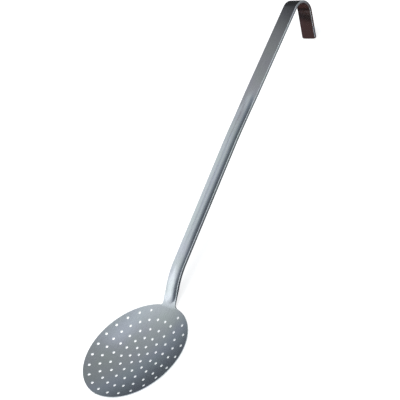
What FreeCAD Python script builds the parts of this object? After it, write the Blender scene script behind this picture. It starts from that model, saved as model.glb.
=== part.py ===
"""One-piece perforated skimmer spoon: a pierced, dished blade on a bent neck and a long strip handle.

Design frame: the rim of the dish lies in the plane Z = 0, round the origin, with its hollow facing +Z.
The handle rises towards +X over the middle of the strip, and Y runs across the strip. The finished
body is then laid on the table, hollow side up, as it comes to rest on its dish and the tip of its hook.
Lengths are in millimetres and angles in degrees.
"""
import FreeCAD, Part
import Sketcher
import math
import os

from FreeCAD import Placement, Rotation, Vector

# The driving sizes, each written once

SIZES = [
    ("dish_diameter", 120.0),        # across the rim of the blade
    ("dish_depth", 9.3),             # hollow below the plane of the rim
    ("dish_sheet", 1.2),             # the blade is rolled thinner than the handle
    ("hole_diameter", 3.0),
    ("first_ring_radius", 10.6),
    ("second_ring_radius", 21.1),
    ("third_ring_radius", 31.55),
    ("fourth_ring_radius", 42.85),
    ("outer_ring_radius", 53.9),
    ("first_ring_holes", 6),
    ("second_ring_holes", 12),
    ("third_ring_holes", 16),
    ("fourth_ring_holes", 24),
    ("outer_ring_places", 24),
    ("outer_ring_left_out", 2),      # places without a hole, below the neck
    ("neck_inset", 1.6),             # the neck starts this far inside the rim
    ("neck_overlap", 1.35),          # and reaches this far down into the sheet of the dish
    ("neck_root_thickness", 0.9),    # so that its end stays inside that sheet
    ("neck_root_width", 18.5),
    ("neck_width", 17.2),            # through the bend of the neck
    ("neck_angle", 40.0),            # of the neck above the plane of the rim
    ("neck_length", 19.0),
    ("neck_bend_radius", 86.0),      # of the front face
    ("neck_corner_radius", 4.0),     # between the sides of the neck and the rim
    ("neck_corner_bite", 0.15),      # how far a corner reaches into the side of the neck
    ("neck_corner_overlap", 0.9),    # and into the sheet of the dish
    ("channel_width", 17.8),         # at the top of the channelled part
    ("channel_angle", 21.5),         # of the channelled part above the plane of the rim
    ("channel_length", 141.5),
    ("crown_radius", 400.0),         # slight bend halfway up the handle
    ("channel_past_crown", 20.0),
    ("channel_fade", 28.0),          # over which the rounded back runs out into the flat strip
    ("grip_angle", 19.5),            # of the flat part above the plane of the rim
    ("grip_length", 112.5),          # of the flat strip below the hook
    ("strip_width", 18.8),
    ("strip_thickness", 3.0),
    ("hook_radius", 15.6),           # of the outer face
    ("hook_turn", 130.0),
    ("hook_leg", 32.0),
    ("tip_corner_radius", 2.5),
    ("groove_radius", 20.0),         # of the section of the pressed groove
    ("groove_depth", 1.85),
    ("neck_runout_start", 3.0),      # below the bend of the neck the groove starts to rise,
    ("neck_runout_radius", 45.0),    # on this radius, to a point above the dish
    ("neck_runout_angle", 20.0),
    ("grip_runout_radius", 208.0),   # at the other end it runs out slowly into the flat strip
    ("grip_runout_angle", 9.0),
]

# Places worked out from the sizes: where each run and bend of the front face ends, seen from the side

LAYOUT = [
    ("root_x", "Sizes.dish_diameter / 2 - Sizes.neck_inset"),
    ("neck_top_x", "root_x + Sizes.neck_length * cos(Sizes.neck_angle)"),
    ("neck_top_z", "Sizes.neck_length * sin(Sizes.neck_angle)"),
    ("bend_end_x",
     "neck_top_x + Sizes.neck_bend_radius * (sin(Sizes.neck_angle) - sin(Sizes.channel_angle))"),
    ("bend_end_z",
     "neck_top_z + Sizes.neck_bend_radius * (cos(Sizes.channel_angle) - cos(Sizes.neck_angle))"),
    ("crown_start_x", "bend_end_x + Sizes.channel_length * cos(Sizes.channel_angle)"),
    ("crown_start_z", "bend_end_z + Sizes.channel_length * sin(Sizes.channel_angle)"),
    ("crown_end_x",
     "crown_start_x + Sizes.crown_radius * (sin(Sizes.channel_angle) - sin(Sizes.grip_angle))"),
    ("crown_end_z",
     "crown_start_z + Sizes.crown_radius * (cos(Sizes.grip_angle) - cos(Sizes.channel_angle))"),
    ("channel_end_x", "crown_end_x + Sizes.channel_past_crown * cos(Sizes.grip_angle)"),
    ("channel_end_z", "crown_end_z + Sizes.channel_past_crown * sin(Sizes.grip_angle)"),
    ("grip_start_x", "channel_end_x + Sizes.channel_fade * cos(Sizes.grip_angle)"),
    ("grip_start_z", "channel_end_z + Sizes.channel_fade * sin(Sizes.grip_angle)"),
    ("grip_end_x", "grip_start_x + Sizes.grip_length * cos(Sizes.grip_angle)"),
    ("grip_end_z", "grip_start_z + Sizes.grip_length * sin(Sizes.grip_angle)"),
    ("leg_angle", "Sizes.grip_angle - Sizes.hook_turn"),
    ("hook_centre_x", "grip_end_x + Sizes.hook_radius * sin(Sizes.grip_angle)"),
    ("hook_centre_z", "grip_end_z - Sizes.hook_radius * cos(Sizes.grip_angle)"),
    ("tip_x", "hook_centre_x - Sizes.hook_radius * sin(leg_angle) + Sizes.hook_leg * cos(leg_angle)"),
    ("tip_z", "hook_centre_z + Sizes.hook_radius * cos(leg_angle) + Sizes.hook_leg * sin(leg_angle)"),
    # the section of the channel: its groove and its round back are drawn about one centre
    ("groove_centre", "Sizes.groove_radius - Sizes.groove_depth"),
    ("back_radius", "Sizes.groove_radius + Sizes.strip_thickness"),
    # the groove rises off the neck, so its centre line starts above the root
    ("neck_lift_radius", "Sizes.neck_runout_radius - Sizes.groove_radius"),
    ("grip_lift_radius", "Sizes.grip_runout_radius - Sizes.groove_radius"),
    ("neck_lift_centre", "groove_centre + neck_lift_radius"),
    ("tool_angle", "Sizes.neck_angle - Sizes.neck_runout_angle"),
    ("runout_x", "neck_top_x - Sizes.neck_runout_start * cos(Sizes.neck_angle)"),
    ("runout_z", "neck_top_z - Sizes.neck_runout_start * sin(Sizes.neck_angle)"),
    ("tool_x", "runout_x - neck_lift_centre * sin(Sizes.neck_angle) + neck_lift_radius * sin(tool_angle)"),
    ("tool_z", "runout_z + neck_lift_centre * cos(Sizes.neck_angle) - neck_lift_radius * cos(tool_angle)"),
    # the corners beside the neck touch its sides and the rim
    ("neck_taper",
     "(Sizes.neck_root_width - Sizes.neck_width) / 2 / (Sizes.neck_overlap + Sizes.neck_length)"),
    ("corner_side",
     "Sizes.neck_root_width / 2 - neck_taper * (Sizes.neck_overlap + Sizes.neck_corner_radius)"),
    ("corner_y", "corner_side - Sizes.neck_corner_bite + Sizes.neck_corner_radius"),
    ("corner_distance", "Sizes.dish_diameter / 2 + Sizes.neck_corner_radius"),
    ("corner_x", "sqrt(corner_distance ^ 2 - corner_y ^ 2)"),
    ("corner_rim_y", "corner_y * Sizes.dish_diameter / 2 / corner_distance"),
    # the dish is a cap of a sphere
    ("dish_radius", "((Sizes.dish_diameter / 2) ^ 2 + Sizes.dish_depth ^ 2) / (2 * Sizes.dish_depth)"),
    ("dish_centre", "dish_radius - Sizes.dish_depth"),
    ("rim_angle", "asin(Sizes.dish_diameter / 2 / dish_radius) / 1 deg"),
    ("blank_angle", "asin((Sizes.dish_diameter / 2 + 2 * Sizes.dish_sheet) / dish_radius) / 1 deg"),
    ("first_hole_angle", "-180 / Sizes.outer_ring_places"),
]

doc = FreeCAD.newDocument("Skimmer")


def fill_sheet(name, rows, lead=""):
    """A spreadsheet with a named cell for each row."""
    sheet = doc.addObject("Spreadsheet::Sheet", name)
    for row, (alias, entry) in enumerate(rows, 1):
        sheet.set(f"A{row}", alias)
        sheet.set(f"B{row}", f"{lead}{entry}")
        sheet.setAlias(f"B{row}", alias)
    doc.recompute()
    return {alias: sheet.get(alias) for alias, _ in rows}


value = fill_sheet("Sizes", SIZES)
value.update(fill_sheet("Layout", LAYOUT, "="))

body = doc.addObject("PartDesign::Body", "Skimmer")
body.Label = "skimmer"

# Ends of sketch elements as constraints number them, and the axes and origin of a sketch

START, END, CENTRE = range(1, 4)
H_AXIS, V_AXIS = range(-1, -3, -1)
ORIGIN = (H_AXIS, START)

# Small shapes in the plane of a sketch


def polar(centre, radius, degrees):
    angle = math.radians(degrees)
    return centre + Vector(radius * math.cos(angle), radius * math.sin(angle), 0)


def direction(degrees):
    return polar(Vector(), 1, degrees)


def line(start, end):
    return Part.LineSegment(start, end)


def circle(centre, radius):
    return Part.Circle(centre, Vector(0, 0, 1), radius)


def arc(centre, radius, start_degrees, end_degrees):
    return Part.ArcOfCircle(circle(centre, radius), math.radians(start_degrees), math.radians(end_degrees))


# Sketches and their dimensions


def origin_part(role):
    return next(feature for feature in body.Origin.OriginFeatures if feature.Role == role)


def new_sketch(name, role):
    """A sketch of the body on one of its own origin planes."""
    sketch = body.newObject("Sketcher::SketchObject", name)
    sketch.AttachmentSupport = [(origin_part(role), "")]
    sketch.MapMode = "FlatFace"
    return sketch


def side_sketch(name):
    """A sketch of the body seen from the side: its X is the body's X and its Y is the body's Z."""
    return new_sketch(name, "XZ_Plane")


def section_sketch(name, place_x, place_z, angle):
    """A sketch square across the handle: X is across the strip and Y points out of its front face."""
    sketch = new_sketch(name, "YZ_Plane")
    sketch.AttachmentOffset = Placement(Vector(), Rotation(Vector(1, 0, 0), -1))
    sketch.setExpression(".AttachmentOffset.Base.z", place_x)
    sketch.setExpression(".AttachmentOffset.Base.y", place_z)
    sketch.setExpression(".AttachmentOffset.Rotation.Angle", f"-({angle})")
    return sketch


def bind(sketch, name, expression, kind, *geometry):
    """A driving dimension of a sketch, tied to the sheets by its expression."""
    number = float(sketch.evalExpression(expression))
    if kind == "Angle":
        number = math.radians(number)
        expression = f"({expression}) * 1 deg"
    index = sketch.addConstraint(Sketcher.Constraint(kind, *geometry, number))
    sketch.renameConstraint(index, name)
    sketch.setExpression(f"Constraints.{name}", expression)


def bind_point(sketch, name, place_x, place_y, *point):
    bind(sketch, f"{name}_x", place_x, "DistanceX", *ORIGIN, *point)
    bind(sketch, f"{name}_y", place_y, "DistanceY", *ORIGIN, *point)


def constrain(sketch, *rows):
    for row in rows:
        sketch.addConstraint(Sketcher.Constraint(*row))


def join(sketch, *pairs):
    constrain(sketch, *(("Coincident", *pair) for pair in pairs))


# The dished blade: a dished square of sheet, swept about a line across the spoon through the centre of its
# sphere so that the poles of the sphere lie outside it, and then cut round at the rim


def shell_sketch(name, role, inner, outer, start, span):
    """A stretch of a shell round the dish's centre: two arcs about it, and two ends square to them."""
    sketch = new_sketch(name, role)
    sketch.setExpression(".AttachmentOffset.Base.y", "Layout.dish_centre")
    end = f"{start} + {span}"
    low, high, near, far = (sketch.evalExpression(text) for text in (start, end, inner, outer))
    sketch.addGeometry([
        arc(Vector(), near, low, high),
        line(direction(high) * near, direction(high) * far),
        arc(Vector(), far, low, high),
        line(direction(low) * far, direction(low) * near),
    ], False)
    join(sketch, (0, END, 1, START), (1, END, 2, END), (2, START, 3, START), (3, END, 0, START))
    join(sketch, (0, CENTRE, *ORIGIN), (2, CENTRE, *ORIGIN))
    constrain(sketch, *(("PointOnObject", 0, CENTRE, side) for side in (1, 3)))
    bind(sketch, "inner", inner, "Radius", 0)
    bind(sketch, "outer", outer, "Radius", 2)
    bind(sketch, "end", end, "Angle", 1)
    bind(sketch, "span", span, "Angle", 0)
    return sketch


blank = body.newObject("PartDesign::Revolution", "DishBlank")
blank_profile = shell_sketch(
    "DishBlankProfile", "YZ_Plane", "Layout.dish_radius", "Layout.dish_radius + Sizes.dish_sheet",
    "-90 - Layout.blank_angle", "2 * Layout.blank_angle",
)
blank.Profile = blank_profile
blank.ReferenceAxis = (blank_profile, ["H_Axis"])
blank.Midplane = True
blank.setExpression("Angle", "2 * Layout.blank_angle")
rim = body.newObject("PartDesign::Groove", "DishRim")
rim_profile = shell_sketch(
    "DishRimProfile", "XZ_Plane", "Layout.dish_radius - Sizes.dish_sheet",
    "Layout.dish_radius + 2 * Sizes.dish_sheet", "Layout.rim_angle - 90", "Layout.rim_angle",
)
rim.Profile = rim_profile
rim.ReferenceAxis = (rim_profile, ["V_Axis"])
rim.Angle = 360

# Sections across the handle


def front_edge(sketch, width):
    """The straight front edge of a section, centred on the sketch's origin."""
    half = Vector(sketch.evalExpression(width) / 2, 0, 0)
    sketch.addGeometry(line(-half, half), False)
    constrain(sketch, ("Horizontal", 0), ("Symmetric", 0, START, 0, END, *ORIGIN))
    bind(sketch, "width", width, "DistanceX", 0, START, 0, END)
    return half


def flat_section(name, place_x, place_z, angle, width, thickness):
    """A plain rectangle, as the strip and the blade are rolled."""
    sketch = section_sketch(name, place_x, place_z, angle)
    half = front_edge(sketch, width)
    back = Vector(0, -sketch.evalExpression(thickness), 0)
    right, left = back + half, back - half
    sketch.addGeometry([line(half, right), line(right, left), line(left, -half)], False)
    join(sketch, (0, END, 1, START), (1, END, 2, START), (2, END, 3, START), (3, END, 0, START))
    constrain(sketch, ("Vertical", 1), ("Horizontal", 2), ("Vertical", 3))
    bind(sketch, "thickness", thickness, "DistanceY", 1, END, 1, START)
    return sketch


def channel_section(name, place_x, place_z, angle, width):
    """The strip pressed to a channel, before its groove: a round back, and sides square to it."""
    sketch = section_sketch(name, place_x, place_z, angle)
    half = front_edge(sketch, width)
    centre = Vector(0, value["groove_centre"], 0)
    radius = value["back_radius"]
    lean = math.degrees(math.atan2(half.x, centre.y))
    back = arc(centre, radius, -90 - lean, lean - 90)
    sketch.addGeometry([line(half, back.EndPoint), back, line(back.StartPoint, -half)], False)
    join(sketch, (0, END, 1, START), (1, END, 2, END), (2, START, 3, START), (3, END, 0, START))
    constrain(sketch, *(("PointOnObject", 2, CENTRE, element) for element in (V_AXIS, 1, 3)))
    bind(sketch, "centre", "Layout.groove_centre", "DistanceY", *ORIGIN, 2, CENTRE)
    bind(sketch, "back", "Layout.back_radius", "Radius", 2)
    return sketch


def add_bend_axis(sketch, radius):
    """The line behind a section, across the strip, about which a bend turns it."""
    half, down = value["strip_width"] / 2, -sketch.evalExpression(radius)
    axis = sketch.addGeometry(line(Vector(-half, down, 0), Vector(half, down, 0)), True)
    constrain(sketch, ("Symmetric", axis, START, axis, END, V_AXIS))
    bind(sketch, "axis_length", "Sizes.strip_width", "DistanceX", axis, START, axis, END)
    bind(sketch, "bend_radius", radius, "DistanceY", axis, START, *ORIGIN)


# The channelled part of the handle, in straight runs and bends from the dish upwards


def run(name, start, end):
    loft = body.newObject("PartDesign::AdditiveLoft", name)
    loft.Profile = start
    loft.Sections = [end]
    loft.Ruled = True


def bend(name, section, radius, turn):
    add_bend_axis(section, radius)
    revolution = body.newObject("PartDesign::Revolution", name)
    revolution.Profile = section
    revolution.ReferenceAxis = (section, ["Axis0"])
    revolution.setExpression("Angle", turn)


root = flat_section(
    "RootSection",
    "Layout.root_x - Sizes.neck_overlap * cos(Sizes.neck_angle)",
    "-Sizes.neck_overlap * sin(Sizes.neck_angle)",
    "Sizes.neck_angle", "Sizes.neck_root_width", "Sizes.neck_root_thickness",
)
neck_top = channel_section(
    "NeckTopSection", "Layout.neck_top_x", "Layout.neck_top_z", "Sizes.neck_angle", "Sizes.neck_width",
)
bend_end = channel_section(
    "BendEndSection", "Layout.bend_end_x", "Layout.bend_end_z", "Sizes.channel_angle", "Sizes.neck_width",
)
crown_start = channel_section(
    "CrownStartSection", "Layout.crown_start_x", "Layout.crown_start_z", "Sizes.channel_angle",
    "Sizes.channel_width",
)
crown_end = channel_section(
    "CrownEndSection", "Layout.crown_end_x", "Layout.crown_end_z", "Sizes.grip_angle", "Sizes.channel_width",
)
channel_end = channel_section(
    "ChannelEndSection", "Layout.channel_end_x", "Layout.channel_end_z", "Sizes.grip_angle",
    "Sizes.channel_width",
)
grip_start = flat_section(
    "GripStartSection", "Layout.grip_start_x", "Layout.grip_start_z", "Sizes.grip_angle",
    "Sizes.strip_width", "Sizes.strip_thickness",
)
run("Neck", root, neck_top)
bend("NeckBend", neck_top, "Sizes.neck_bend_radius", "Sizes.neck_angle - Sizes.channel_angle")
run("Channel", bend_end, crown_start)
bend("Crown", crown_start, "Sizes.crown_radius", "Sizes.channel_angle - Sizes.grip_angle")
run("ChannelPastCrown", crown_end, channel_end)
run("ChannelFade", channel_end, grip_start)

# The flat strip that is held, and its hook


def grip_sketch():
    """The flat strip and its hook from the side, one thickness all along."""
    sketch = side_sketch("GripOutline")
    along, leg = value["grip_angle"], value["leg_angle"]
    thick, radius = value["strip_thickness"], value["hook_radius"]
    centre = Vector(value["hook_centre_x"], value["hook_centre_z"], 0)
    front = [
        Vector(value["grip_start_x"], value["grip_start_z"], 0),
        polar(centre, radius, along + 90),
        polar(centre, radius, leg + 90),
        Vector(value["tip_x"], value["tip_z"], 0),
    ]
    back = [point - direction(angle + 90) * thick for point, angle in zip(front, (along, along, leg, leg))]
    sketch.addGeometry([
        line(front[0], front[1]),
        arc(centre, radius, leg + 90, along + 90),
        line(front[2], front[3]),
        line(front[3], back[3]),
        line(back[3], back[2]),
        arc(centre, radius - thick, leg + 90, along + 90),
        line(back[1], back[0]),
        line(back[0], front[0]),
    ], False)
    join(sketch, (2, END, 3, START), (3, END, 4, START), (6, END, 7, START), (7, END, 0, START))
    join(sketch, (1, CENTRE, 5, CENTRE))
    constrain(
        sketch,
        ("Tangent", 0, END, 1, END),
        ("Tangent", 1, START, 2, START),
        ("Tangent", 4, END, 5, START),
        ("Tangent", 5, END, 6, START),
        ("Perpendicular", 2, 3),
        ("Perpendicular", 3, 4),
        ("Perpendicular", 6, 7),
        ("Perpendicular", 7, 0),
    )
    bind_point(sketch, "start", "Layout.grip_start_x", "Layout.grip_start_z", 0, START)
    bind(sketch, "rise", "Sizes.grip_angle", "Angle", 0)
    bind(sketch, "fall", "Layout.leg_angle", "Angle", 2)
    bind(sketch, "grip", "Sizes.grip_length", "Distance", 0)
    bind(sketch, "hook_radius", "Sizes.hook_radius", "Radius", 1)
    bind(sketch, "leg", "Sizes.hook_leg", "Distance", 2)
    bind(sketch, "thickness", "Sizes.strip_thickness", "Distance", 3)
    return sketch


def at_tip(edge):
    """Is this one of the two short edges through the strip at the corners of the hook's tip?"""
    ends = [vertex.Point for vertex in edge.Vertexes]
    away = [math.hypot(end.x - value["tip_x"], end.z - value["tip_z"]) for end in ends]
    same_side = ends[0].y * ends[-1].y > 0
    return same_side and max(away) < value["strip_thickness"] * 1.01


grip = body.newObject("PartDesign::Pad", "GripAndHook")
grip.Profile = grip_sketch()
grip.Midplane = True
grip.setExpression("Length", "Sizes.strip_width")
doc.recompute()
corner_edges = [f"Edge{n}" for n, edge in enumerate(grip.Shape.Edges, 1) if at_tip(edge)]
tip_corners = body.newObject("PartDesign::Fillet", "TipCorners")
tip_corners.Base = (grip, corner_edges)
tip_corners.setExpression("Radius", "Sizes.tip_corner_radius")

# The corners that spread the root of the neck on to the rim


def corner_sketch():
    """The root of the neck on its own slope, with a round corner on each side that meets the rim."""
    sketch = new_sketch("NeckCornerOutline", "XY_Plane")
    sketch.AttachmentOffset = Placement(Vector(), Rotation(Vector(0, 1, 0), -1))
    sketch.setExpression(".AttachmentOffset.Base.x", "Layout.root_x")
    sketch.setExpression(".AttachmentOffset.Rotation.Angle", "-Sizes.neck_angle")
    radius, y = value["neck_corner_radius"], value["corner_y"]
    x, low = value["corner_x"] - value["root_x"], -value["neck_corner_overlap"]
    slope = math.degrees(math.atan2(y, value["corner_x"]))
    left = arc(Vector(x, y, 0), radius, 180 + slope, 270)
    right = arc(Vector(x, -y, 0), radius, 90, 180 - slope)
    low_left, low_right = Vector(low, left.StartPoint.y, 0), Vector(low, right.EndPoint.y, 0)
    sketch.addGeometry([
        left,
        line(left.EndPoint, right.StartPoint),
        right,
        line(right.EndPoint, low_right),
        line(low_right, low_left),
        line(low_left, left.StartPoint),
    ], False)
    join(sketch, (0, END, 1, START), (1, END, 2, START), (2, END, 3, START), (3, END, 4, START))
    join(sketch, (4, END, 5, START), (5, END, 0, START))
    constrain(
        sketch,
        ("Equal", 0, 2),
        ("Vertical", 0, CENTRE, 0, END),
        ("Vertical", 2, CENTRE, 2, START),
        ("Symmetric", 0, CENTRE, 2, CENTRE, H_AXIS),
        ("Horizontal", 3),
        ("Symmetric", 4, START, 4, END, H_AXIS),
        ("Horizontal", 5),
    )
    bind_point(sketch, "corner", "Layout.corner_x - Layout.root_x", "Layout.corner_y", 0, CENTRE)
    bind(sketch, "corner_radius", "Sizes.neck_corner_radius", "Radius", 0)
    bind(sketch, "rim", "Layout.corner_rim_y", "DistanceY", *ORIGIN, 0, START)
    bind(sketch, "overlap", "Sizes.neck_corner_overlap", "DistanceX", 4, START, *ORIGIN)
    return sketch


corners = body.newObject("PartDesign::Pad", "NeckCorners")
corners.Profile = corner_sketch()
corners.Reversed = True
corners.setExpression("Length", "Sizes.neck_root_thickness")

# The groove pressed into the front of the neck and the handle


def groove_line():
    """The centre line of the round tool that presses the groove, from the neck to its end in the grip."""
    sketch = side_sketch("GrooveLine")
    offset = value["groove_centre"]
    neck, channel, upper = value["neck_angle"], value["channel_angle"], value["grip_angle"]

    def above(place, angle):
        return Vector(value[f"{place}_x"], value[f"{place}_z"], 0) + direction(angle + 90) * offset

    start, neck_top = above("runout", neck), above("neck_top", neck)
    bend_end, crown_start = above("bend_end", channel), above("crown_start", channel)
    crown_end, end = above("crown_end", upper), above("channel_end", upper)
    low, high = value["neck_lift_radius"], value["grip_lift_radius"]
    neck_bend, crown = value["neck_bend_radius"] + offset, value["crown_radius"] + offset
    sketch.addGeometry([
        arc(start + direction(neck + 90) * low, low, neck - 90 - value["neck_runout_angle"], neck - 90),
        line(start, neck_top),
        arc(neck_top - direction(neck + 90) * neck_bend, neck_bend, channel + 90, neck + 90),
        line(bend_end, crown_start),
        arc(crown_start - direction(channel + 90) * crown, crown, upper + 90, channel + 90),
        line(crown_end, end),
        arc(end + direction(upper + 90) * high, high, upper - 90, upper - 90 + value["grip_runout_angle"]),
    ], False)
    constrain(
        sketch,
        ("Tangent", 0, END, 1, START),
        ("Tangent", 1, END, 2, END),
        ("Tangent", 2, START, 3, START),
        ("Tangent", 3, END, 4, END),
        ("Tangent", 4, START, 5, START),
        ("Tangent", 5, END, 6, START),
    )
    bind_point(
        sketch, "neck_top", "Layout.neck_top_x - Layout.groove_centre * sin(Sizes.neck_angle)",
        "Layout.neck_top_z + Layout.groove_centre * cos(Sizes.neck_angle)", 1, END,
    )
    bind(sketch, "neck_rise", "Sizes.neck_angle", "Angle", 1)
    bind(sketch, "channel_rise", "Sizes.channel_angle", "Angle", 3)
    bind(sketch, "grip_rise", "Sizes.grip_angle", "Angle", 5)
    bind(sketch, "below_bend", "Sizes.neck_runout_start", "Distance", 1)
    bind(sketch, "channel", "Sizes.channel_length", "Distance", 3)
    bind(sketch, "past_crown", "Sizes.channel_past_crown", "Distance", 5)
    bind(sketch, "neck_lift", "Layout.neck_lift_radius", "Radius", 0)
    bind(sketch, "neck_bend", "Sizes.neck_bend_radius + Layout.groove_centre", "Radius", 2)
    bind(sketch, "crown", "Sizes.crown_radius + Layout.groove_centre", "Radius", 4)
    bind(sketch, "grip_lift", "Layout.grip_lift_radius", "Radius", 6)
    bind(sketch, "neck_runout", "Sizes.neck_runout_angle", "Angle", 0)
    bind(sketch, "grip_runout", "Sizes.grip_runout_angle", "Angle", 6)
    return sketch


def groove_tool():
    sketch = section_sketch("GrooveTool", "Layout.tool_x", "Layout.tool_z", "Layout.tool_angle")
    sketch.addGeometry(circle(Vector(), value["groove_radius"]), False)
    join(sketch, (0, CENTRE, *ORIGIN))
    bind(sketch, "radius", "Sizes.groove_radius", "Radius", 0)
    return sketch


groove = body.newObject("PartDesign::SubtractivePipe", "Groove")
groove.Profile = groove_tool()
groove.Spine = (groove_line(), [])

# The holes: one in the middle and five rings, with the two places of the outer ring below the neck left out


def hole(name, radius, angle):
    """A hole square to the sheet, as one punched before dishing: its axis runs through the sphere's centre."""
    sketch = new_sketch(f"{name}Outline", "XY_Plane")
    turn = f"rotation({angle}; -asin({radius} / Layout.dish_radius); 0)"
    drop = "placement(vector(0; 0; Sizes.dish_sheet - Layout.dish_radius); rotation(0; 0; 0))"
    sketch.setExpression("AttachmentOffset", f"placement(vector(0; 0; Layout.dish_centre); {turn}) * {drop}")
    sketch.addGeometry(circle(Vector(), value["hole_diameter"] / 2), False)
    join(sketch, (0, CENTRE, *ORIGIN))
    bind(sketch, "diameter", "Sizes.hole_diameter", "Diameter", 0)
    pocket = body.newObject("PartDesign::Pocket", name)
    pocket.Profile = sketch
    pocket.setExpression("Length", "3 * Sizes.dish_sheet")
    return pocket


def ring(name, radius, places, left_out="0"):
    """A ring of evenly spaced holes. The places left out are those that start the ring."""
    step = f"(360 / {places})"
    first = hole(f"{name}Hole", radius, f"Layout.first_hole_angle + {left_out} * {step}")
    pattern = body.newObject("PartDesign::PolarPattern", f"{name}Ring")
    pattern.Originals = [first]
    pattern.Axis = (origin_part("Z_Axis"), [""])
    pattern.Mode = "Spacing"
    pattern.setExpression("Offset", step)
    pattern.setExpression("Occurrences", f"{places} - {left_out}")
    body.Tip = pattern


hole("MiddleHole", "0", "0")
ring("First", "Sizes.first_ring_radius", "Sizes.first_ring_holes")
ring("Second", "Sizes.second_ring_radius", "Sizes.second_ring_holes")
ring("Third", "Sizes.third_ring_radius", "Sizes.third_ring_holes")
ring("Fourth", "Sizes.fourth_ring_radius", "Sizes.fourth_ring_holes")
ring("Outer", "Sizes.outer_ring_radius", "Sizes.outer_ring_places", "Sizes.outer_ring_left_out")
doc.recompute()

# At rest it stands on the round underside of the dish and on the tip of the hook


def rest_tilt():
    """How far the handle drops from the design frame until both touch the table."""
    underside = value["dish_radius"] + value["dish_sheet"]
    drop = value["dish_centre"] - value["tip_z"]
    distance = math.hypot(value["tip_x"], drop)
    return math.degrees(math.asin(underside / distance) - math.atan2(drop, value["tip_x"]))


body.Placement = Placement(Vector(), Rotation(Vector(0, 1, 0), rest_tilt()))
box = body.Shape.optimalBoundingBox(False)
middle = box.Center
body.Placement = Placement(Vector(-middle.x, -middle.y, -box.ZMin), body.Placement.Rotation)
doc.recompute()

# Checks, and the file of the finished piece

broken = [item.Name for item in doc.Objects if {"Invalid", "Error"} & set(item.State)]
if broken:
    raise RuntimeError(f"failed objects: {broken}")
if body.Shape.isNull() or not body.Shape.isValid() or len(body.Shape.Solids) != 1:
    raise RuntimeError("the skimmer is not one valid solid")
os.makedirs("parts", exist_ok=True)
body.Shape.exportStep(os.path.join("parts", f"{body.Label}.step"))
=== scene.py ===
"""The look of the perforated skimmer: its sheet steel as one fine mesh, brushed, in a plain bright studio.

The steel is shaped in the part's design frame, in millimetres: the rim of the dish lies in the plane
Z = 0 round the origin, and the handle rises towards +X. It is then tilted to where it rests on the table
and brought to metres, in which the studio is measured.
"""
import math

import bpy
import numpy as np
from mathutils import Matrix, Vector
from mathutils.geometry import delaunay_2d_cdt


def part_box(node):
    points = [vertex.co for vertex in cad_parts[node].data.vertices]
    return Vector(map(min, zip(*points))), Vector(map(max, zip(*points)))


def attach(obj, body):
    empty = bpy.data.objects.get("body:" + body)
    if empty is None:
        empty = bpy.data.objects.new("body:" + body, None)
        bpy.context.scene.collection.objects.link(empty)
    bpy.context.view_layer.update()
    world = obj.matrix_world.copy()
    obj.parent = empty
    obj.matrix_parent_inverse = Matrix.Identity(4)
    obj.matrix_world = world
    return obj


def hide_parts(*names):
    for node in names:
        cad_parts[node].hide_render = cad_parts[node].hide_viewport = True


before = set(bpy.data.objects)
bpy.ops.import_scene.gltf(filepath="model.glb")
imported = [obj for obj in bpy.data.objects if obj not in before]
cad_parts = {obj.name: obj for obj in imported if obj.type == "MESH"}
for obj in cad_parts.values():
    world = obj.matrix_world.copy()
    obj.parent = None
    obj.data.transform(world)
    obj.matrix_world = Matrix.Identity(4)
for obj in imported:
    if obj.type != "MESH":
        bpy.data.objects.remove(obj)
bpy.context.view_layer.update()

MM = 0.001

# Sizes of the dish, as in the part

DISH_DIAMETER = 120.0
DISH_DEPTH = 9.3
DISH_SHEET = 1.2
DISH_RADIUS = ((DISH_DIAMETER / 2) ** 2 + DISH_DEPTH ** 2) / (2 * DISH_DEPTH)
DISH_CENTRE = Vector((0, 0, DISH_RADIUS - DISH_DEPTH))
HOLE_RADIUS = 1.5
OUTER_RING_PLACES = 24
FIRST_HOLE_ANGLE = -180 / OUTER_RING_PLACES
RINGS = (    # radius, places, and how many of them are left out below the neck
    (10.6, 6, 0),
    (21.1, 12, 0),
    (31.55, 16, 0),
    (42.85, 24, 0),
    (53.9, OUTER_RING_PLACES, 2),
)

# Sizes of the handle, as in the part

NECK_INSET = 1.6    # the neck starts this far inside the rim
NECK_OVERLAP = 1.35    # and reaches this far down into the sheet of the dish
ROOT_X = DISH_DIAMETER / 2 - NECK_INSET
NECK_ANGLE = 40.0
NECK_LENGTH = 19.0
NECK_BEND_RADIUS = 86.0
CHANNEL_ANGLE = 21.5
CHANNEL_LENGTH = 141.5
CROWN_RADIUS = 400.0    # of the slight bend halfway up the handle
PAST_CROWN = 20.0
FADE = 28.0    # over which the rounded back runs out into the flat strip
GRIP_ANGLE = 19.5
GRIP_LENGTH = 112.5
HOOK_RADIUS = 15.6
HOOK_TURN = 130.0
HOOK_LEG = 32.0
TIP_CORNER_RADIUS = 2.5
ROOT_HALF_WIDTH = 9.25
NECK_HALF_WIDTH = 8.6
CHANNEL_HALF_WIDTH = 8.9
STRIP_HALF_WIDTH = 9.4
ROOT_THICKNESS = 0.9
STRIP_THICKNESS = 3.0
CORNER_RADIUS = 4.0    # between the sides of the neck and the rim
CORNER_BITE = 0.15    # how far a corner reaches into the side of the neck
GROOVE_RADIUS = 20.0
GROOVE_DEPTH = 1.85
GROOVE_CENTRE = GROOVE_RADIUS - GROOVE_DEPTH
NECK_RUNOUT_START = 3.0    # how far below the bend of the neck the groove starts to rise
NECK_RUNOUT_RADIUS = 45.0
GRIP_RUNOUT_RADIUS = 208.0

# What forming and finishing add to the part's shapes. Every edge is broken, more on the sheared strip than
# on the thin dish. The lips of the groove are soft, most of all where it runs out into the grip.

STRIP_EDGE = 0.45
DISH_EDGE = 0.2
LIP_SOFTNESS = 0.12
RUNOUT_SOFTNESS = 0.9
ROOT_BLEND = 15.0    # how far up the neck it still flows into the dish

# How fine the mesh is: distances between its points, and numbers of points or steps

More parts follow.
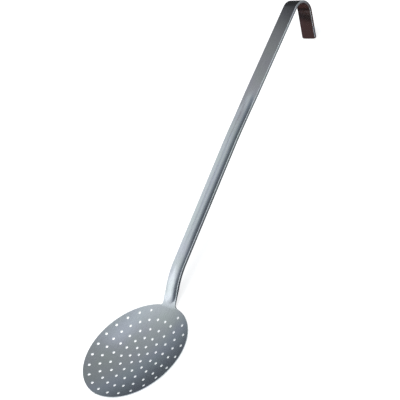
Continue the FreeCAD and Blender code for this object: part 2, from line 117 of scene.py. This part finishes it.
PLAIN_STEP = 2.5
ROOT_FINE_LENGTH = 8.0
ROOT_STEP = 0.4
HOOK_FINE_LENGTH = 45.0    # before the leg of the hook
HOOK_STEP = 0.8
TIP_STEPS = 10
FRONT_STEPS = 16    # from the middle of the front face to one side
BACK_STEPS = 16    # from side to side
STRIP_EDGE_STEPS = 4
DISH_EDGE_STEPS = 3
DISH_STEP = 2.2
HOLE_MARGIN = 0.9    # round a hole, left free of the dish's own points
RIM_MARGIN = 1.4
HOLE_POINTS = 24
RIM_POINTS = 240
MERGE_DISTANCE = 1e-6

# The steel. The grain is given as waves to the metre, along it and across it.

GRAIN_TURN = 35.0
GRAIN_WAVES = (45, 1100, 1100)
CLOUD_WAVES = 38.0
SPECK_WAVES = 900.0
STEEL_GREENISH = (0.58, 0.63, 0.61)
STEEL_BLUISH = (0.58, 0.60, 0.64)
CLOUD_RANGE = (0.3, 0.7)    # of the clouds, from the first tone to the second
STREAK_RANGE = (0.6, 1.4)    # of the grain and the specks together
STREAK_TONES = (0.9, 1.09)    # and what they multiply the tone by
STEEL_ROUGHNESS = 0.2
ROUGHNESS_SPREAD = 0.05
GRAIN_RELIEF = 0.15
GRAIN_HEIGHT = 0.00004

# The room is brightest towards the key light. Its levels go with the cosine of the angle from that light.

KEY_TURN = -45.0    # degrees from +Y towards +X
KEY_HEIGHT = 55.0    # degrees above the table
KEY_DISTANCE = 1.5
KEY_SIZE = 0.8
KEY_POWER = 0.6
ROOM_TINT = (0.96, 1.0, 1.04)
ROOM_LEVELS = (
    (0, 0.08), (0.22, 0.27), (0.4, 0.36), (0.6, 0.43), (0.7, 0.5), (0.8, 0.68), (0.88, 0.9), (0.96, 1.12),
)
FLOOR_REACH = 3.0
FLOOR_GREY = 0.8
FLOOR_GLOW = 0.78

# The cards and the sheets of painted reflection, which only the steel sees. Shared places come first, then
# the tints of their greys.

REFLECTION_SHEET_X = (-0.135, 1.0)
REFLECTION_SHEET_SEAM_Y = -0.024    # where the front sheet of painted reflection meets the back one
REFLECTION_SHEET_HEIGHT = 0.0003
UPPER_REFLECTION_SHEET_HEIGHT = 0.0006
WALL_Y = 0.165    # of the cards that stand behind the handle
WALL_SEAM_X = -0.04    # where the one behind the neck meets the one behind the channel
CARD_GAP = 0.0001    # between cards that overlap
CARD_FOOT = 0.001    # above the table
GREY = (1.01, 1.0, 1.05)
COOL = (0.96, 1.0, 1.05)
BLUE = (0.94, 0.98, 1.12)
SLATE = (0.88, 0.98, 1.15)
BROWN = (1.5, 0.68, 0.6)

# The camera, where the photograph was taken from

CAMERA_PLACE = (-0.332231, -0.744985, 0.703624)
CAMERA_TURNS = (39.4868, 34.197, -57.2051)    # degrees about X, Y and Z
CAMERA_LENS = 89.68
CAMERA_SENSOR = 36.0
CAMERA_NEAREST = 0.01


def bend_length(radius, degrees):
    return radius * math.radians(degrees)


# The front face of the handle from the side: the length of each run or bend, and how far it turns down

NECK_TURN = NECK_ANGLE - CHANNEL_ANGLE
CROWN_TURN = CHANNEL_ANGLE - GRIP_ANGLE
RUNS = (
    (NECK_OVERLAP + NECK_LENGTH, 0),
    (bend_length(NECK_BEND_RADIUS, NECK_TURN), NECK_TURN),
    (CHANNEL_LENGTH, 0),
    (bend_length(CROWN_RADIUS, CROWN_TURN), CROWN_TURN),
    (PAST_CROWN + FADE + GRIP_LENGTH, 0),
    (bend_length(HOOK_RADIUS, HOOK_TURN), HOOK_TURN),
    (HOOK_LEG, 0),
)
NECK_TOP = RUNS[0][0]
BEND_END = NECK_TOP + RUNS[1][0]
CHANNEL_END = BEND_END + RUNS[2][0] + RUNS[3][0] + PAST_CROWN
TIP = sum(length for length, _ in RUNS)


# The handle


def along(distance):
    """The place and slope of the front face this far from the lower end of the neck."""
    slope = math.radians(NECK_ANGLE)
    start = -NECK_OVERLAP
    place = Vector((ROOT_X + start * math.cos(slope), 0, start * math.sin(slope)))
    for length, turn in RUNS:
        step = min(distance, length)
        turned = math.radians(turn) * step / length
        chord = step if not turn else 2 * length / math.radians(turn) * math.sin(turned / 2)
        place += chord * Vector((math.cos(slope - turned / 2), 0, math.sin(slope - turned / 2)))
        slope -= turned
        distance -= step
        if distance <= 0:
            break
    return place, slope


def blend(low, high, share):
    return low + (high - low) * share


def faded(distance):
    """How far the channel has turned into the flat grip, from 0 to 1."""
    return min(1, max(0, (distance - CHANNEL_END) / FADE))


def runout(radius, past):
    """The depth that the groove still has this far past the place where it starts to run out on an arc."""
    past = min(radius, max(0, past))
    return GROOVE_DEPTH - radius + math.sqrt(radius ** 2 - past ** 2)


def groove_depth(distance):
    """The groove is at its full depth along the channel and runs out at both ends."""
    at_neck = runout(NECK_RUNOUT_RADIUS, NECK_TOP - NECK_RUNOUT_START - distance)
    at_grip = runout(GRIP_RUNOUT_RADIUS, distance - CHANNEL_END)
    return min(at_neck, at_grip)


def softness(distance):
    """How far the lips of the groove are softened: a little all along, and more towards the grip."""
    return blend(LIP_SOFTNESS, RUNOUT_SOFTNESS, faded(distance + FADE / 2))


def corner_half_width(distance):
    """Half the width of the root between the round corners that spread it on to the rim."""
    taper = (ROOT_HALF_WIDTH - NECK_HALF_WIDTH) / NECK_TOP
    side = ROOT_HALF_WIDTH - taper * (NECK_OVERLAP + CORNER_RADIUS) - CORNER_BITE + CORNER_RADIUS
    reach = DISH_DIAMETER / 2 + CORNER_RADIUS
    centre = math.sqrt(reach ** 2 - side ** 2)
    touch = centre * (1 - CORNER_RADIUS / reach) - ROOT_X
    past = max(touch, distance - NECK_OVERLAP) + ROOT_X - centre
    return side - math.sqrt(max(0, CORNER_RADIUS ** 2 - past ** 2)) if past < 0 else 0


def half_width(distance):
    if distance < NECK_TOP:
        plain = blend(ROOT_HALF_WIDTH, NECK_HALF_WIDTH, distance / NECK_TOP)
        return max(plain, corner_half_width(distance))
    if distance < BEND_END:
        return NECK_HALF_WIDTH
    if distance < CHANNEL_END:
        share = min(1, (distance - BEND_END) / CHANNEL_LENGTH)
        return blend(NECK_HALF_WIDTH, CHANNEL_HALF_WIDTH, share)
    wide = blend(CHANNEL_HALF_WIDTH, STRIP_HALF_WIDTH, faded(distance))
    missing = max(0, TIP_CORNER_RADIUS - (TIP - distance))
    return wide - TIP_CORNER_RADIUS + math.sqrt(TIP_CORNER_RADIUS ** 2 - missing ** 2)


def roundness(distance):
    """How far the back is rounded, from 0 for the flat strip to 1 for the channel."""
    if distance < NECK_TOP:
        return distance / NECK_TOP
    return 1 - faded(distance)


def back_depth(distance, y):
    """How deep the back lies below the front face, this far from the middle of the strip."""
    flat = ROOT_THICKNESS if distance < NECK_TOP else STRIP_THICKNESS
    channel = math.sqrt((GROOVE_RADIUS + STRIP_THICKNESS) ** 2 - y ** 2) - GROOVE_CENTRE
    return blend(flat, channel, roundness(distance))


def front_depth(distance, y):
    """How deep the groove is cut below the front face, this far from the middle of the strip."""
    cut = groove_depth(distance) - GROOVE_RADIUS + math.sqrt(GROOVE_RADIUS ** 2 - y ** 2)
    return (cut + math.hypot(cut, softness(distance))) / 2


def quarter(steps):
    """The sine and cosine of evenly spaced angles inside a quarter turn, its ends included."""
    return [(math.sin(a), math.cos(a)) for a in (math.pi / 2 * n / steps for n in range(steps + 1))]


def section(distance, inset):
    """The outline across the handle, as (y, depth) points, all round from the left of the front face."""
    half = half_width(distance) - inset
    back = back_depth(distance, half)
    edge = STRIP_EDGE * min(1, back / STRIP_THICKNESS)
    inner, low = half - edge, back - inset
    right = [inner * sine for sine, _ in quarter(FRONT_STEPS)]
    left = [-y for y in reversed(right[1:])]
    face = [(y, front_depth(distance, y) + inset) for y in left + right]
    arc = quarter(STRIP_EDGE_STEPS)
    side = [(inner + edge * sine, inset + edge * (1 - cosine)) for sine, cosine in arc[1:]]
    side += [(inner + edge * cosine, low - edge * (1 - sine)) for sine, cosine in arc]
    across = np.linspace(inner, -inner, BACK_STEPS + 1)[1:-1]
    underside = [(y, back_depth(distance, y) - inset) for y in across]
    other_side = [(-y, depth) for y, depth in reversed(side)]
    return face + side + underside + other_side


def stations():
    """Places along the handle, each with how far the broken edge of the tip draws its outline in."""
    hook_start = TIP - HOOK_LEG - HOOK_FINE_LENGTH
    places = np.arange(0, ROOT_FINE_LENGTH, ROOT_STEP).tolist()
    places += np.arange(ROOT_FINE_LENGTH, hook_start, PLAIN_STEP).tolist()
    places += np.arange(places[-1] + PLAIN_STEP, TIP - TIP_CORNER_RADIUS, HOOK_STEP).tolist()
    places += [TIP - TIP_CORNER_RADIUS * (1 - sine) for sine, _ in quarter(TIP_STEPS)]
    plain = [(place, 0) for place in places if TIP - place > STRIP_EDGE]
    arc = quarter(STRIP_EDGE_STEPS)
    return plain + [(TIP - STRIP_EDGE * (1 - sine), STRIP_EDGE * (1 - cosine)) for sine, cosine in arc]


def loop_at(distance, inset):
    """The points of the outline at a station."""
    place, slope = along(distance)
    out = Vector((-math.sin(slope), 0, math.cos(slope)))
    return [place - out * depth + Vector((0, y, 0)) for y, depth in section(distance, inset)]


def weighted_normals(points, faces):
    """Each point's normal, weighted by the areas of the faces round it."""
    places = np.array(points)
    sums = np.zeros((len(points), 3))
    for face in faces:
        a, b, c, d = (places[n] for n in face)
        normal = np.cross(c - a, d - b)
        for n in face:
            sums[n] += normal
    return [Vector(total).normalized() for total in sums]


def root_normal(distance, point, normal):
    """The normal near the root, turned towards the dish's, since the neck flows into the dish there."""
    share = max(0, 1 - distance / ROOT_BLEND) ** 2
    dish_normal = (DISH_CENTRE - point).normalized()
    along_dish = normal.dot(dish_normal)
    target = dish_normal * math.copysign(1, along_dish)
    return normal.lerp(target, share * abs(along_dish)).normalized()


def handle_mesh():
    """Points, faces and normals of the handle, in loops round it that are joined by rows of faces."""
    places = stations()
    loops = [loop_at(distance, inset) for distance, inset in places]
    count = len(loops[0])
    points = [point for loop in loops for point in loop]
    rows = [list(range(start, start + count)) for start in range(0, len(points), count)]
    faces = []
    for low, high in zip(rows, rows[1:]):
        for n in range(count):
            after = (n + 1) % count
            faces.append((low[n], high[n], high[after], low[after]))
    normals = weighted_normals(points, faces)
    for (distance, _), row in zip(places, rows):
        for n in row:
            normals[n] = root_normal(distance, points[n], normals[n])
    ends = [tuple(rows[0]), tuple(reversed(rows[-1]))]
    return points, faces + ends, normals


# The dish


def hole_places():
    """Where the holes pierce the hollow face, seen along the axis of the dish."""
    places = [(0.0, 0.0)]
    for radius, count, left_out in RINGS:
        for n in range(left_out, count):
            angle = math.radians(FIRST_HOLE_ANGLE + 360 / count * n)
            places.append((radius * math.cos(angle), radius * math.sin(angle)))
    return places


def outward(x, y):
    """The direction from the sphere's centre to a point of the hollow face."""
    return Vector((x, y, -math.sqrt(DISH_RADIUS ** 2 - x ** 2 - y ** 2))) / DISH_RADIUS


def seen_from_above(point):
    """Where a point of the sheet is seen on the hollow face, along the axis of the dish."""
    direction = (point - DISH_CENTRE).normalized() * DISH_RADIUS
    return Vector((direction.x, direction.y))


def clearance(spot, holes):
    return min(math.hypot(spot.x - x, spot.y - y) for x, y in holes)


def dish_grid():
    """Evenly spread places inside the rim, in rows shifted by half a step."""
    reach = math.ceil(DISH_DIAMETER / 2 / DISH_STEP)
    for row in range(-reach, reach + 1):
        for column in range(-reach, reach + 1):
            spot = Vector((column + row % 2 / 2, row * math.sqrt(3) / 2)) * DISH_STEP
            if spot.length < DISH_DIAMETER / 2 - RIM_MARGIN:
                yield spot


class Dish:
    """The dished sheet: points, faces and normals. Places on it are directions from the sphere's centre."""

    def __init__(self):
        self.points, self.faces, self.normals = [], [], []
        self.lips = []

    def add(self, direction, depth, normal):
        """A point this deep in the sheet, below its hollow face."""
        self.points.append(DISH_CENTRE + direction * (DISH_RADIUS + depth))
        self.normals.append(normal.normalized())
        return len(self.points) - 1

    def cut_edge(self, x, y, radius, count, facing):
        """A round cut edge with its corners broken. It faces outwards at the rim, 1, or into a hole, -1."""
        axis = outward(x, y)
        side = Vector((0, 1, 0)).cross(axis).normalized()
        up = axis.cross(side)
        angles = [2 * math.pi * n / count for n in range(count)]
        spokes = [side * math.cos(angle) + up * math.sin(angle) for angle in angles]
        upper = [
            (DISH_EDGE * (1 - sine), DISH_EDGE * (1 - cosine), sine, -cosine)
            for sine, cosine in quarter(DISH_EDGE_STEPS)
        ]
        lower = [(offset, DISH_SHEET - depth, sine, -lean) for offset, depth, sine, lean in reversed(upper)]
        loops = []
        for offset, depth, sine, lean in upper + lower:
            spread = math.asin((radius - facing * offset) / DISH_RADIUS)
            directions = [axis * math.cos(spread) + spoke * math.sin(spread) for spoke in spokes]
            loops.append([
                self.add(direction, depth, spoke * sine * facing + direction * lean)
                for direction, spoke in zip(directions, spokes)
            ])
        for low, high in zip(loops, loops[1:]):
            for n in range(count):
                after = (n + 1) % count
                self.faces.append((low[n], low[after], high[after], high[n])[::facing])
        self.lips.append((loops[0], loops[-1]))

    def fill(self, holes):
        """Both faces of the sheet, between the rim and the holes."""
        spots, edges = [], []
        for top, _ in self.lips:
            start = len(spots)
            spots += [seen_from_above(self.points[index]) for index in top]
            edges += [(start + n, start + (n + 1) % len(top)) for n in range(len(top))]
        lip_points = [pair for lip in self.lips for pair in zip(*lip)]
        spots += [spot for spot in dish_grid() if clearance(spot, holes) > HOLE_RADIUS + HOLE_MARGIN]
        inside_only = 1
        placed, _, triangles, sources, _, _ = delaunay_2d_cdt(spots, edges, [], inside_only, MERGE_DISTANCE)
        both = []
        for source, spot in zip(sources, placed):
            if source[0] < len(lip_points):
                both.append(lip_points[source[0]])
            else:
                direction = outward(spot.x, spot.y)
                upper = self.add(direction, 0, -direction)
                both.append((upper, self.add(direction, DISH_SHEET, direction)))
        for triangle in triangles:
            middle = sum((placed[n] for n in triangle), Vector((0, 0))) / 3
            if clearance(middle, holes) > HOLE_RADIUS:
                self.faces.append(tuple(both[n][0] for n in triangle))
                self.faces.append(tuple(both[n][1] for n in reversed(triangle)))


def dish_mesh():
    dish = Dish()
    holes = hole_places()
    for x, y in holes:
        dish.cut_edge(x, y, HOLE_RADIUS, HOLE_POINTS, facing=-1)
    dish.cut_edge(0, 0, DISH_DIAMETER / 2, RIM_POINTS, facing=1)
    dish.fill(holes)
    return dish.points, dish.faces, dish.normals


# The whole piece at rest on the table


def rest_matrix():
    """From the design frame in millimetres to the table in metres, up to a shift."""
    tip, _ = along(TIP)
    drop = DISH_CENTRE.z - tip.z
    underside = DISH_RADIUS + DISH_SHEET
    tilt = math.asin(underside / math.hypot(tip.x, drop)) - math.atan2(drop, tip.x)
    return Matrix.Scale(MM, 4) @ Matrix.Rotation(tilt, 4, "Y")


def node_shift(places):
    """The shift that centres the mesh in the part's box and sets it down at the same height."""
    low, high = (np.array(corner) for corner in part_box("skimmer"))
    shift = (low + high - places.min(axis=0) - places.max(axis=0)) / 2
    shift[2] = low[2] - places[:, 2].min()
    return shift


def steel_object():
    points, faces, normals = [], [], []
    for part in (dish_mesh(), handle_mesh()):
        start = len(points)
        points += part[0]
        faces += [tuple(start + n for n in face) for face in part[1]]
        normals += part[2]
    matrix = rest_matrix()
    places = np.array([matrix @ point for point in points])
    places += node_shift(places)
    mesh = bpy.data.meshes.new("skimmer_steel")
    mesh.from_pydata(places.tolist(), [], faces)
    mesh.shade_smooth()
    turn = matrix.to_quaternion()
    mesh.normals_split_custom_set_from_vertices([turn @ normal for normal in normals])
    steel = bpy.data.objects.new("skimmer_steel", mesh)
    bpy.context.scene.collection.objects.link(steel)
    return steel


# Materials


def new_material(name):
    material = bpy.data.materials.new(name)
    material.use_nodes = True
    material.node_tree.nodes.clear()
    return material, material.node_tree.nodes, material.node_tree.links


def noise(nodes, links, place, waves, detail):
    texture = nodes.new("ShaderNodeTexNoise")
    texture.inputs["Scale"].default_value = waves
    texture.inputs["Detail"].default_value = detail
    links.new(place, texture.inputs["Vector"])
    return texture.outputs["Fac"]


def brought_to(nodes, links, value, low, high, source=(0, 1)):
    """A value brought from the source range to the range from low to high."""
    ranges = nodes.new("ShaderNodeMapRange")
    for name, limit in zip(("From Min", "From Max", "To Min", "To Max"), (*source, low, high)):
        ranges.inputs[name].default_value = limit
    links.new(value, ranges.inputs["Value"])
    return ranges.outputs[0]


def grain_place(nodes, links, place):
    """The place on the steel, drawn out along the direction of the grain."""
    mapping = nodes.new("ShaderNodeMapping")
    mapping.inputs["Rotation"].default_value = (0, 0, math.radians(GRAIN_TURN))
    mapping.inputs["Scale"].default_value = GRAIN_WAVES
    links.new(place, mapping.inputs[0])
    return mapping.outputs[0]


def steel_colour(nodes, links, place, grain):
    """Cloudy between two tones, with the streaks of the grain and fine specks."""
    tones = nodes.new("ShaderNodeValToRGB")
    colours = (STEEL_GREENISH, STEEL_BLUISH)
    for stop, position, colour in zip(tones.color_ramp.elements, CLOUD_RANGE, colours):
        stop.position = position
        stop.color = (*colour, 1)
    links.new(noise(nodes, links, place, CLOUD_WAVES, detail=3.0), tones.inputs[0])
    fine = nodes.new("ShaderNodeMath")
    fine.operation = "ADD"
    links.new(grain, fine.inputs[0])
    links.new(noise(nodes, links, place, SPECK_WAVES, detail=2.0), fine.inputs[1])
    shade = nodes.new("ShaderNodeVectorMath")
    shade.operation = "SCALE"
    links.new(tones.outputs[0], shade.inputs[0])
    links.new(brought_to(nodes, links, fine.outputs[0], *STREAK_TONES, STREAK_RANGE), shade.inputs["Scale"])
    return shade.outputs[0]


def brushed_steel():
    """Stainless steel with a fine straight grain, a little cloudy, as formed and polished sheet is."""
    material, nodes, links = new_material("brushed_steel")
    output = nodes.new("ShaderNodeOutputMaterial")
    shader = nodes.new("ShaderNodeBsdfPrincipled")
    shader.inputs["Metallic"].default_value = 1.0
    links.new(shader.outputs[0], output.inputs[0])
    place = nodes.new("ShaderNodeTexCoord").outputs["Object"]
    grain = noise(nodes, links, grain_place(nodes, links, place), waves=1.0, detail=4.0)
    links.new(steel_colour(nodes, links, place, grain), shader.inputs["Base Color"])
    smooth, rough = STEEL_ROUGHNESS - ROUGHNESS_SPREAD, STEEL_ROUGHNESS + ROUGHNESS_SPREAD
    links.new(brought_to(nodes, links, grain, smooth, rough), shader.inputs["Roughness"])
    bump = nodes.new("ShaderNodeBump")
    bump.inputs["Strength"].default_value = GRAIN_RELIEF
    bump.inputs["Distance"].default_value = GRAIN_HEIGHT
    links.new(grain, bump.inputs["Height"])
    links.new(bump.outputs[0], shader.inputs["Normal"])
    return material


def ray_kind(nodes, links, kinds):
    """1 for rays of these kinds, 0 for the rest."""
    path = nodes.new("ShaderNodeLightPath")
    total = path.outputs[kinds[0]]
    for kind in kinds[1:]:
        either = nodes.new("ShaderNodeMath")
        either.operation = "MAXIMUM"
        links.new(total, either.inputs[0])
        links.new(path.outputs[kind], either.inputs[1])
        total = either.outputs[0]
    return total


def fill_ramp(ramp, tones, tint):
    """Sets the tones, given as positions and greys, all in one tint."""
    stops = ramp.color_ramp.elements
    stops.remove(stops[1])
    for n, (position, level) in enumerate(tones):
        stop = stops.new(position) if n else stops[0]
        stop.position = position
        stop.color = (*(level * share for share in tint), 1)


def white_floor():
    """White to the eye and in reflections, and still darkened a little where the object shades it."""
    material, nodes, links = new_material("floor")
    output = nodes.new("ShaderNodeOutputMaterial")
    lit = nodes.new("ShaderNodeBsdfDiffuse")
    lit.inputs["Color"].default_value = (FLOOR_GREY, FLOOR_GREY, FLOOR_GREY, 1)
    glow = nodes.new("ShaderNodeEmission")
    glow.inputs["Strength"].default_value = FLOOR_GLOW
    both = nodes.new("ShaderNodeAddShader")
    links.new(lit.outputs[0], both.inputs[0])
    links.new(glow.outputs[0], both.inputs[1])
    pick = nodes.new("ShaderNodeMixShader")
    seen = ray_kind(nodes, links, ("Is Camera Ray", "Is Glossy Ray", "Is Transmission Ray"))
    links.new(seen, pick.inputs[0])
    links.new(lit.outputs[0], pick.inputs[1])
    links.new(both.outputs[0], pick.inputs[2])
    links.new(pick.outputs[0], output.inputs[0])
    return material


def card_material(name, axis, tones, tint):
    """A card as it looks in the steel, with its tones at places in metres along an axis."""
    material, nodes, links = new_material(name)
    output = nodes.new("ShaderNodeOutputMaterial")
    glow = nodes.new("ShaderNodeEmission")
    place = nodes.new("ShaderNodeTexCoord")
    parts = nodes.new("ShaderNodeSeparateXYZ")
    ramp = nodes.new("ShaderNodeValToRGB")
    fill_ramp(ramp, tones, tint)
    links.new(place.outputs["Object"], parts.inputs[0])
    links.new(parts.outputs[axis], ramp.inputs[0])
    links.new(ramp.outputs[0], glow.inputs["Color"])
    links.new(glow.outputs[0], output.inputs[0])
    return material


# The studio


def towards_key():
    turn, height = math.radians(KEY_TURN), math.radians(KEY_HEIGHT)
    level = math.cos(height)
    return Vector((level * math.sin(turn), level * math.cos(turn), math.sin(height)))


def studio_world():
    """A room that brightens towards the key light, and plain white where the camera sees it."""
    world = bpy.data.worlds.new("studio")
    bpy.context.scene.world = world
    world.use_nodes = True
    nodes, links = world.node_tree.nodes, world.node_tree.links
    nodes.clear()
    output = nodes.new("ShaderNodeOutputWorld")
    place = nodes.new("ShaderNodeTexCoord")
    cosine = nodes.new("ShaderNodeVectorMath")
    cosine.operation = "DOT_PRODUCT"
    cosine.inputs[1].default_value = towards_key()
    links.new(place.outputs["Generated"], cosine.inputs[0])
    ramp = nodes.new("ShaderNodeValToRGB")
    fill_ramp(ramp, ROOM_LEVELS, ROOM_TINT)
    links.new(cosine.outputs["Value"], ramp.inputs[0])
    room = nodes.new("ShaderNodeBackground")
    links.new(ramp.outputs[0], room.inputs[0])
    white = nodes.new("ShaderNodeBackground")
    white.inputs["Color"].default_value = (1, 1, 1, 1)
    pick = nodes.new("ShaderNodeMixShader")
    links.new(ray_kind(nodes, links, ("Is Camera Ray", "Is Transmission Ray")), pick.inputs[0])
    links.new(room.outputs[0], pick.inputs[1])
    links.new(white.outputs[0], pick.inputs[2])
    links.new(pick.outputs[0], output.inputs[0])


def flat_object(name, corners, material):
    mesh = bpy.data.meshes.new(name)
    mesh.from_pydata(corners, [], [(0, 1, 2, 3)])
    mesh.materials.append(material)
    made = bpy.data.objects.new(name, mesh)
    bpy.context.scene.collection.objects.link(made)
    return made


def lying(x, y, height):
    """The corners of a level sheet that covers these ranges."""
    (left, right), (near, far) = x, y
    return [(left, near, height), (right, near, height), (right, far, height), (left, far, height)]


def standing(start, end, top, foot=CARD_FOOT):
    """The corners of an upright sheet, from the two ends that it has as seen from above."""
    return [(*start, foot), (*end, foot), (*end, top), (*start, top)]


def floor():
    across = (-FLOOR_REACH, FLOOR_REACH)
    flat_object("floor", lying(across, across, height=0), white_floor())


def card(name, corners, tones, axis="X", tint=COOL):
    """A painted reflection: a glowing card that only the steel sees in its reflections, as a photographer
    sets one beside polished metal.
    """
    made = flat_object(name, corners, card_material(name, axis, tones, tint))
    made.visible_camera = False
    made.visible_diffuse = False
    made.visible_transmission = False
    made.visible_shadow = False


def pale_cards():
    """Painted highlights and reflections: one overhead, a bluish one high behind the handle, as a window's
    reflection is, and a bright one far in front.
    """
    corners = lying(x=(-0.4, 0.5), y=(-0.2, 0.36), height=1.2)
    card("overhead", corners, tones=[(0.05, 1.0), (0.24, 0.84), (0.355, 0.78), (0.385, 0.68)])
    corners = lying(x=(0.01, 0.35), y=(0.31, 0.6), height=0.84)
    # a painted bluish reflection, standing in for a window; the scene has no window
    card("window", corners, tones=[(0.38, 0.5), (0.46, 0.75)], axis="Y", tint=BLUE)
    corners = standing(start=(-1.2, -1.3), end=(0.9, -1.3), top=1.6, foot=0.1)
    card("front_card", corners, tones=[(0, 2.0)])


def painted_reflection_sheets():
    """Painted dark reflections: grey glowing sheets just above the table, which the steel mirrors in place
    of the white floor and the camera doesn't see.
    """
    corners = lying(x=REFLECTION_SHEET_X, y=(-0.16, REFLECTION_SHEET_SEAM_Y), height=REFLECTION_SHEET_HEIGHT)
    card("front_reflection_sheet", corners, tones=[(0, 0.2), (0.12, 0.28), (0.2, 0.34)])
    corners = lying(x=REFLECTION_SHEET_X, y=(REFLECTION_SHEET_SEAM_Y, 1.5), height=REFLECTION_SHEET_HEIGHT)
    card("back_reflection_sheet", corners, tones=[(0, 0.1)], tint=SLATE)


def cards_behind():
    """Painted reflections: grey glowing cards, dark at the foot behind the neck and the channel, and at the
    far end beyond the hook.
    """
    seam = (WALL_SEAM_X, WALL_Y)
    corners = standing(start=(-0.19, WALL_Y), end=seam, top=0.11)
    tones = [(0.04, 0.12), (0.06, 0.17), (0.083, 0.3), (0.1, 0.38)]
    card("card_behind_neck", corners, tones, axis="Z", tint=SLATE)
    corners = standing(start=seam, end=(0.19, WALL_Y), top=0.165)
    tones = [(0.05, 0.09), (0.09, 0.16), (0.125, 0.3), (0.16, 0.4)]
    card("card_behind_channel", corners, tones, axis="Z", tint=SLATE)
    past_wall = WALL_Y + CARD_GAP
    corners = standing(start=(0.16, past_wall), end=(0.75, past_wall), top=0.45)
    tones = [(0.16, 0.48), (0.19, 0.45), (0.215, 0.37), (0.272, 0.28), (0.302, 0.165), (0.328, 0.035)]
    card("card_beyond_hook", corners, tones, tint=GREY)


def cards_at_hook():
    """Painted dark reflections for the inside of the hook: brown and nearly black glowing sheets that only
    the steel mirrors.
    """
    brown = [(0, 0.05)]
    corners = lying(x=(0.2, 0.34), y=(-0.012, 0.3), height=UPPER_REFLECTION_SHEET_HEIGHT)
    card("dark_reflection_under_hook", corners, brown, tint=BROWN)
    corners = lying(x=(0.24, 0.34), y=(-0.052, -0.012), height=UPPER_REFLECTION_SHEET_HEIGHT)
    card("dark_reflection_before_hook", corners, brown, tint=BROWN)
    # painted shade: a glowing sheet standing in the hook's mouth, seen only in the steel, which lays a
    # near-black band on the leg
    corners = standing(start=(0.201, -0.0012), end=(0.2322, 0.0296), top=0.04)
    tones = [(0.0235, 0.05), (0.026, 0.012), (0.0325, 0.012), (0.0345, 0.05)]
    card("card_in_hook", corners, tones, axis="Z", tint=BROWN)


def photo_camera():
    data = bpy.data.cameras.new("camera")
    data.type = "PERSP"
    data.lens = CAMERA_LENS
    data.sensor_width = CAMERA_SENSOR
    data.clip_start = CAMERA_NEAREST
    camera = bpy.data.objects.new("camera", data)
    camera.location = CAMERA_PLACE
    camera.rotation_euler = [math.radians(turn) for turn in CAMERA_TURNS]
    bpy.context.scene.collection.objects.link(camera)
    bpy.context.scene.camera = camera


def key_light():
    """A square softbox. The room gives most of the light."""
    data = bpy.data.lights.new("key", "AREA")
    data.size = KEY_SIZE
    data.energy = KEY_POWER
    lamp = bpy.data.objects.new("key", data)
    place = towards_key() * KEY_DISTANCE
    lamp.location = place
    lamp.rotation_euler = (-place).to_track_quat("-Z", "Y").to_euler()
    bpy.context.scene.collection.objects.link(lamp)


bpy.context.scene.view_settings.view_transform = "Standard"
photo_camera()
studio_world()
floor()
pale_cards()
painted_reflection_sheets()
cards_behind()
cards_at_hook()
key_light()
steel = steel_object()
steel.data.materials.append(brushed_steel())
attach(steel, "root")
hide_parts("skimmer")
